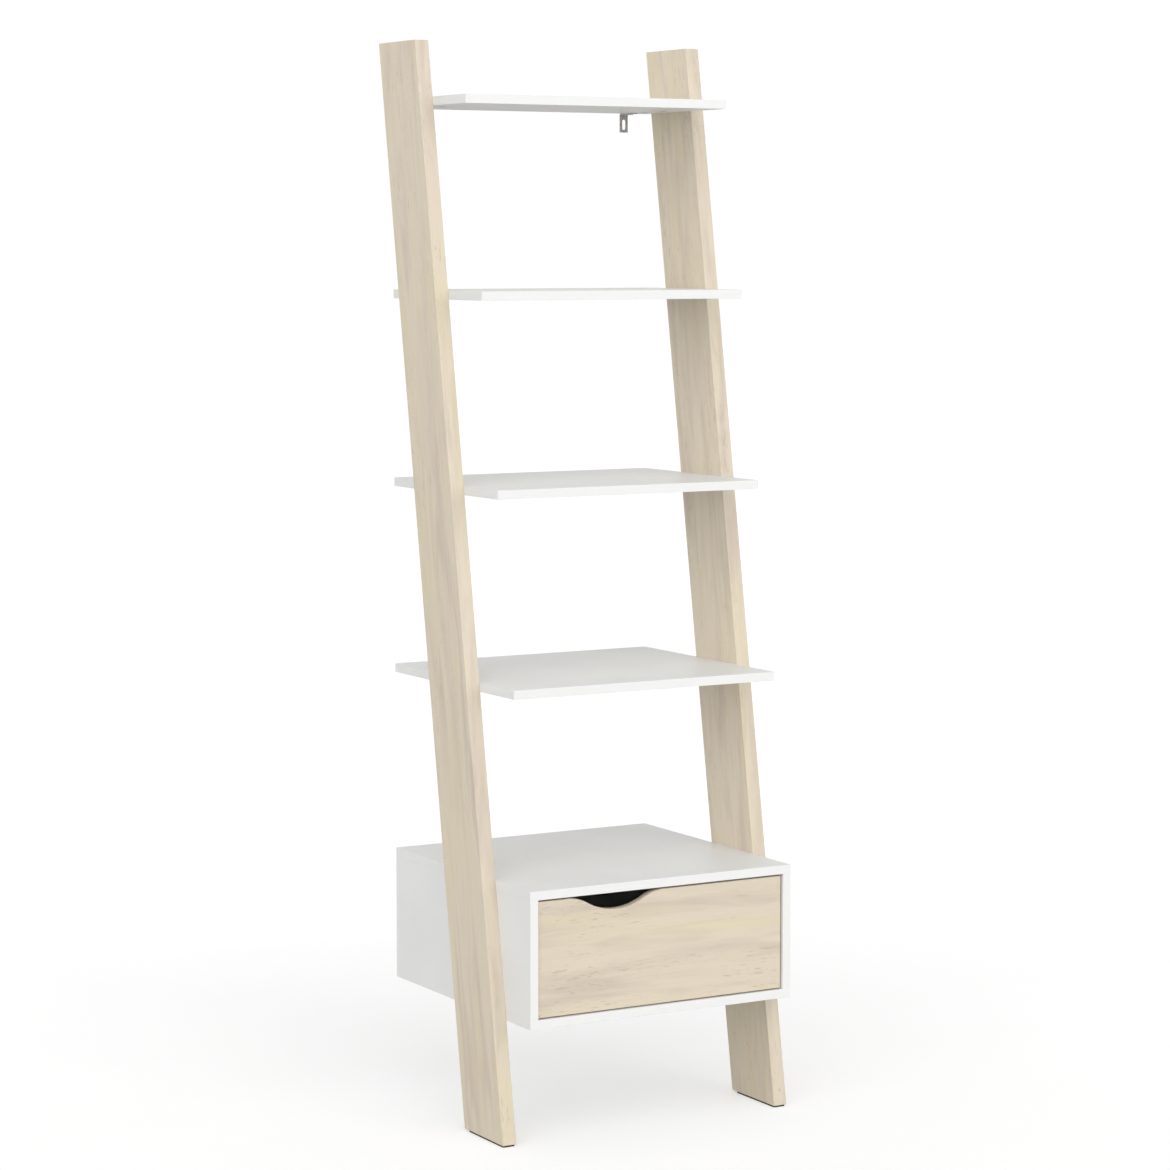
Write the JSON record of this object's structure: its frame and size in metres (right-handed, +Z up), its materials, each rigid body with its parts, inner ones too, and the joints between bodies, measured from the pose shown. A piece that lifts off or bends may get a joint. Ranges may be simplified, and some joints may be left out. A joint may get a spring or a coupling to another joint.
{
  "type": "ladder shelf",
  "caption": "Leaning ladder shelf: two tilted side rails, open shelves deepening downwards, and a low cabinet with a drawer on roller runners; slotted wall brackets.",
  "frame": {"origin": "on the floor, in the middle of the width and of the depth", "axes": "+X to the right as seen from the front, +Y back towards the wall, +Z up; the drawer opens towards -Y"},
  "size_m": [0.55, 0.477, 1.8],
  "materials": {
    "oak_board": "satin pale oak foil, grain along the rail",
    "oak_front": "satin pale oak foil, grain across",
    "white_board": "satin white melamine on chipboard",
    "drawer_board": "matt white foil on chipboard",
    "white_hardboard": "matt white lacquer on hardboard",
    "runner_steel": "white powder coat",
    "roller_nylon": "matt natural nylon",
    "cam_zinc": "dull die-cast zinc",
    "fastener_steel": "zinc plated",
    "bracket_steel": "zinc plated",
    "dowel_wood": "plain beech",
    "glide_plastic": "matt dark plastic"
  },
  "bodies": {
    "frame": {"left_rail": "oak_board", "right_rail": "oak_board", "left_foot_glide": "glide_plastic", "right_foot_glide": "glide_plastic", "top_shelf": "white_board", "second_shelf": "white_board", "third_shelf": "white_board", "fourth_shelf": "white_board", "cabinet_top": "white_board", "cabinet_bottom": "white_board", "cabinet_left_side": "white_board", "cabinet_right_side": "white_board", "cabinet_back": "white_hardboard", "left_cabinet_runner": "runner_steel", "right_cabinet_runner": "runner_steel", "left_wall_bracket": "bracket_steel", "right_wall_bracket": "bracket_steel", "shelf_cam_locks": "cam_zinc", "shelf_cam_bolts": "fastener_steel", "shelf_dowels": "dowel_wood", "cabinet_cam_locks": "cam_zinc", "cabinet_cam_bolts": "fastener_steel", "cabinet_dowels": "dowel_wood", "rail_screws": "fastener_steel", "cabinet_runner_screws": "fastener_steel", "bracket_screws": "fastener_steel", "front_roller_axles": "fastener_steel"},
    "drawer": {"drawer_front": "oak_front", "drawer_left_side": "drawer_board", "drawer_right_side": "drawer_board", "drawer_back": "drawer_board", "drawer_bottom": "white_hardboard", "drawer_cam_locks": "cam_zinc", "drawer_cam_bolts": "fastener_steel", "drawer_dowels": "dowel_wood", "drawer_back_screws": "fastener_steel", "drawer_runner_screws": "fastener_steel", "left_drawer_runner": "runner_steel", "right_drawer_runner": "runner_steel", "rear_roller_axles": "fastener_steel"},
    "left_front_roller": {"left_front_roller": "roller_nylon"},
    "left_rear_roller": {"left_rear_roller": "roller_nylon"},
    "right_front_roller": {"right_front_roller": "roller_nylon"},
    "right_rear_roller": {"right_rear_roller": "roller_nylon"}
  },
  "joints": [
    {"name": "drawer_slide", "type": "slide", "parent": "frame", "child": "drawer", "axis": [0, -1, 0], "range_m": [0, 0.3]},
    {"name": "left_front_roller_turn", "type": "hinge", "parent": "frame", "child": "left_front_roller", "pos_m": [-0.2296, -0.205, 0.2298], "axis": [1, 0, 0], "range_deg": [-30, 2060]},
    {"name": "left_rear_roller_turn", "type": "hinge", "parent": "drawer", "child": "left_rear_roller", "pos_m": [-0.2275, 0.171, 0.2298], "axis": [1, 0, 0], "range_deg": [-30, 2060]},
    {"name": "right_front_roller_turn", "type": "hinge", "parent": "frame", "child": "right_front_roller", "pos_m": [0.2296, -0.205, 0.2298], "axis": [1, 0, 0], "range_deg": [-30, 2060]},
    {"name": "right_rear_roller_turn", "type": "hinge", "parent": "drawer", "child": "right_rear_roller", "pos_m": [0.2275, 0.171, 0.2298], "axis": [1, 0, 0], "range_deg": [-30, 2060]}
  ],
  "couplings": [
    {"joint": "left_front_roller_turn", "follows": "drawer_slide", "rad_per_m": 117.65},
    {"joint": "left_rear_roller_turn", "follows": "drawer_slide", "rad_per_m": 117.65},
    {"joint": "right_front_roller_turn", "follows": "drawer_slide", "rad_per_m": 117.65},
    {"joint": "right_rear_roller_turn", "follows": "drawer_slide", "rad_per_m": 117.65}
  ]
}
